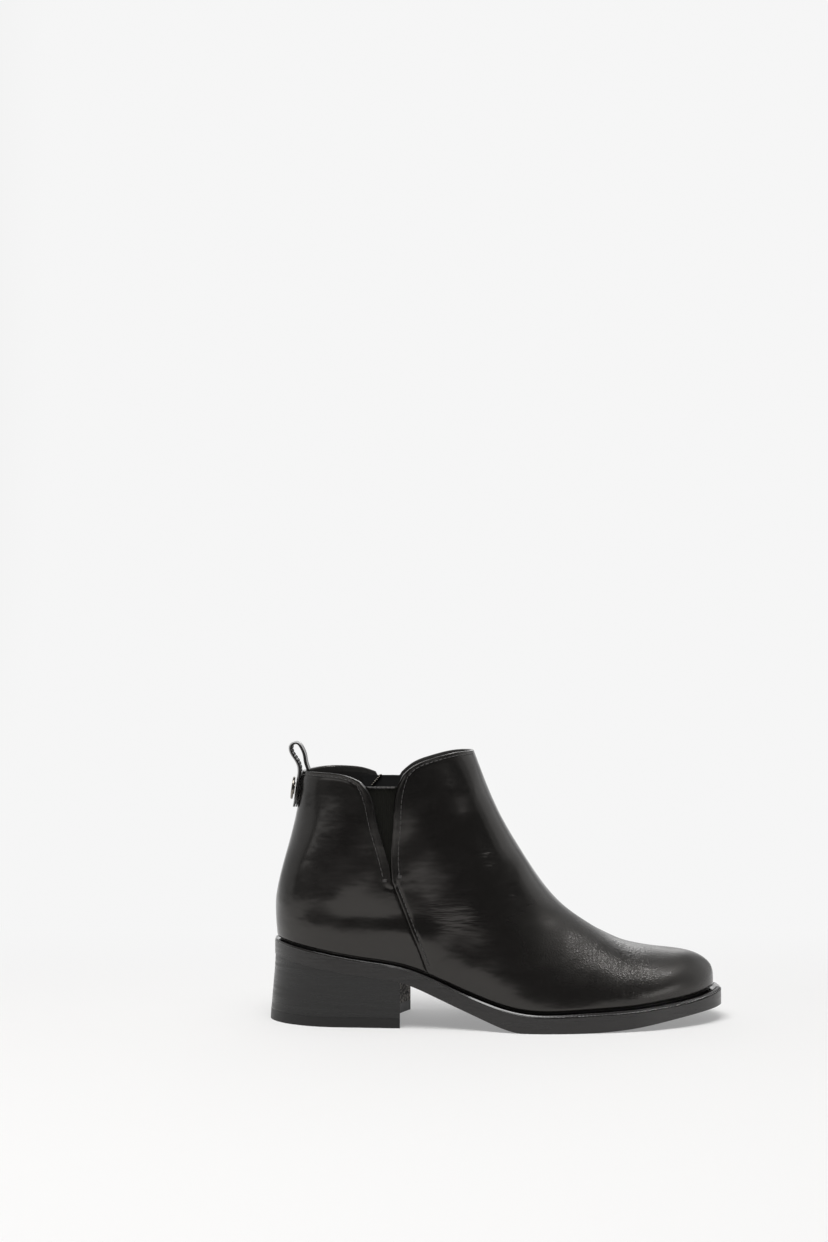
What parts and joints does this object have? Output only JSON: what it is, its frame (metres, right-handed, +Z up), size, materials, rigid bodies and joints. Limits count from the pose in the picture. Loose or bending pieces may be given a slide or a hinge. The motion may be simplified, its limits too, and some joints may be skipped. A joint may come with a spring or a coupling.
{
  "type": "ankle boot",
  "caption": "Black leather ankle boot for the right foot with a block heel, elastic side gore, inner side zip and a strap pull loop at the back of the collar.",
  "frame": {"origin": "on the floor, under the middle of the boot's box", "axes": "+X towards the toe, +Y towards the inner side of the right foot, +Z up"},
  "size_m": [0.2569, 0.091, 0.157],
  "materials": {
    "upper_leather": "smooth, semi-gloss",
    "sole_edge": "dyed and burnished",
    "heel_stack": "stacked, dyed",
    "top_piece": "matte",
    "insole_leather": "matte",
    "elastic": "ribbed weave",
    "zip_cloth": "woven tape",
    "zip_metal": "dark plated"
  },
  "bodies": {
    "boot": {"outsole": "sole_edge", "welt": "sole_edge", "heel_block": "heel_stack", "heel_top_piece": "top_piece", "insole": "insole_leather", "upper": "upper_leather", "gore": "elastic", "zip_tape": "zip_cloth", "zip_teeth": "zip_metal", "zip_slider": "zip_metal", "pull_loop": "upper_leather", "back_tab": "upper_leather", "stud": "zip_metal"},
    "pull": {"zip_pull": "zip_metal"}
  },
  "joints": [
    {"name": "pull_swing", "type": "hinge", "parent": "boot", "child": "pull", "pos_m": [-0.062, 0.03905, 0.13265], "axis": [0.9841, 0, 0.1776], "range_deg": [0, 160]}
  ]
}
